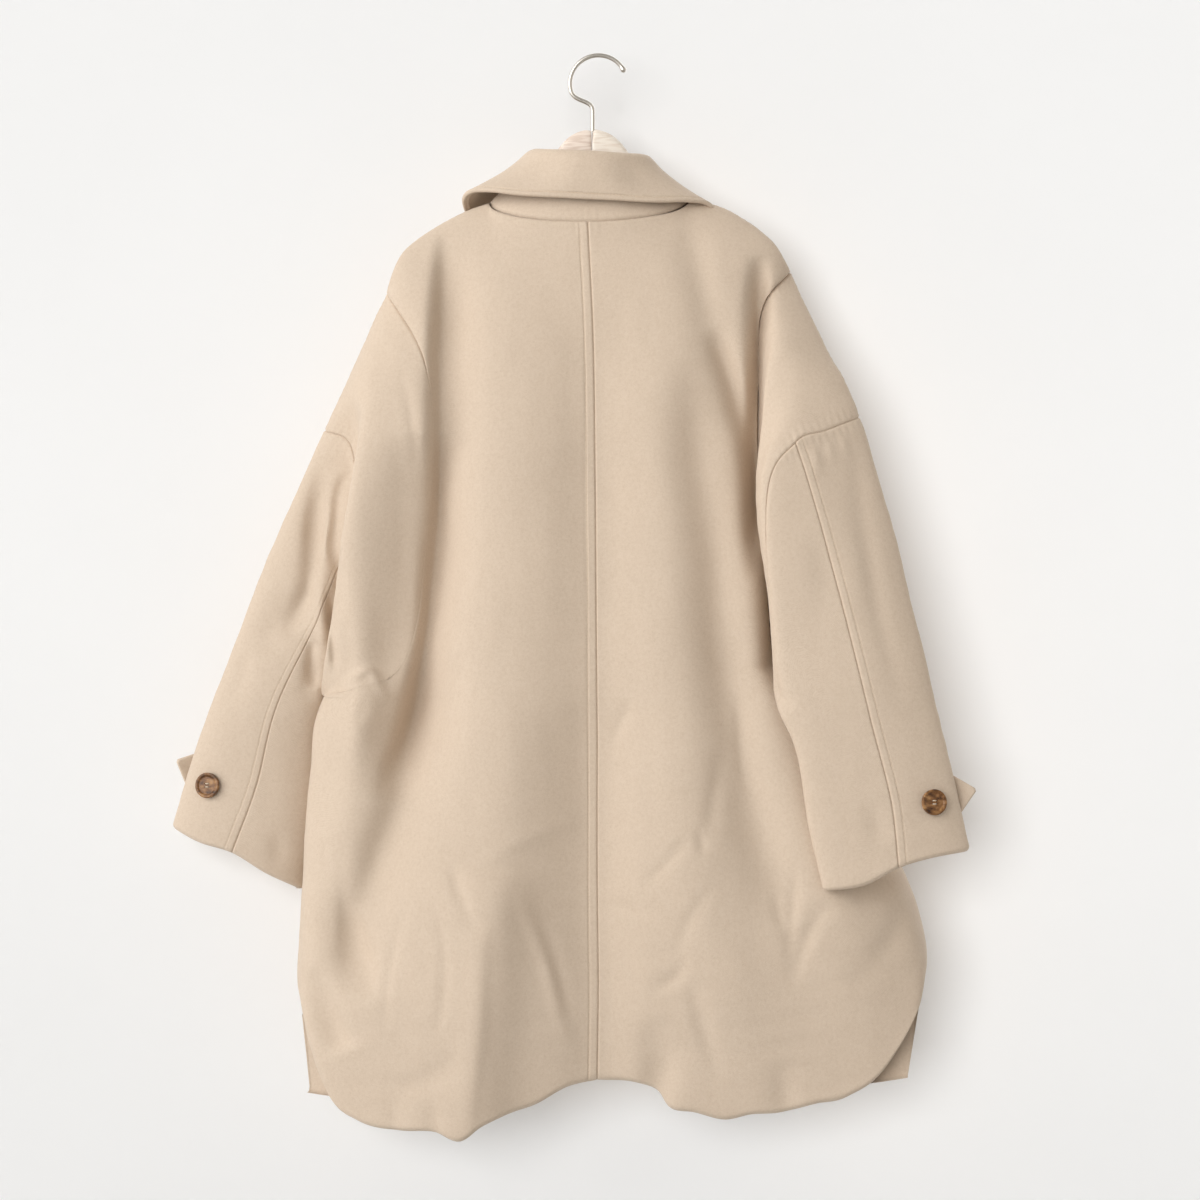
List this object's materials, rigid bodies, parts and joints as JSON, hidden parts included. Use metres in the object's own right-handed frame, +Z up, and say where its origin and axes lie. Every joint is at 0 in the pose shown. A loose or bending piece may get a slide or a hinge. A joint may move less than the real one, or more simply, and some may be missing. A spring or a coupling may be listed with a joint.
{
  "type": "down coat on a hanger",
  "caption": "Loose drop-shoulder down coat in smooth beige cloth with a stand-and-fall collar, wide sleeves with buttoned cuff tabs and a rounded hem, hung on a wooden hanger.",
  "frame": {"origin": "inside of the crown of the hanger's hook, where the rail lies", "axes": "+Z up along the hang, +X to the coat's right sleeve, +Y from the back of the coat to its front"},
  "size_m": [0.7573, 0.1927, 1.0181],
  "materials": {
    "cloth": "smooth brushed twill, matt",
    "horn": "polished mottled horn",
    "wood_left": "pale bare wood, satin",
    "wood_right": "pale bare wood, satin",
    "wire": "satin plated wire"
  },
  "bodies": {
    "root": {"back_left": "cloth", "back_right": "cloth", "front_left": "cloth", "front_right": "cloth", "drop_shoulder_back_left": "cloth", "drop_shoulder_back_right": "cloth", "drop_shoulder_front_left": "cloth", "drop_shoulder_front_right": "cloth", "top_sleeve_left": "cloth", "top_sleeve_right": "cloth", "under_sleeve_left": "cloth", "under_sleeve_right": "cloth", "collar_stand": "cloth", "collar_fall": "cloth", "cuff_tab_left": "cloth", "cuff_tab_right": "cloth", "button_left": "horn", "button_right": "horn", "hanger_left": "wood_left", "hanger_right": "wood_right", "hanger_hook": "wire"}
  },
  "joints": []
}
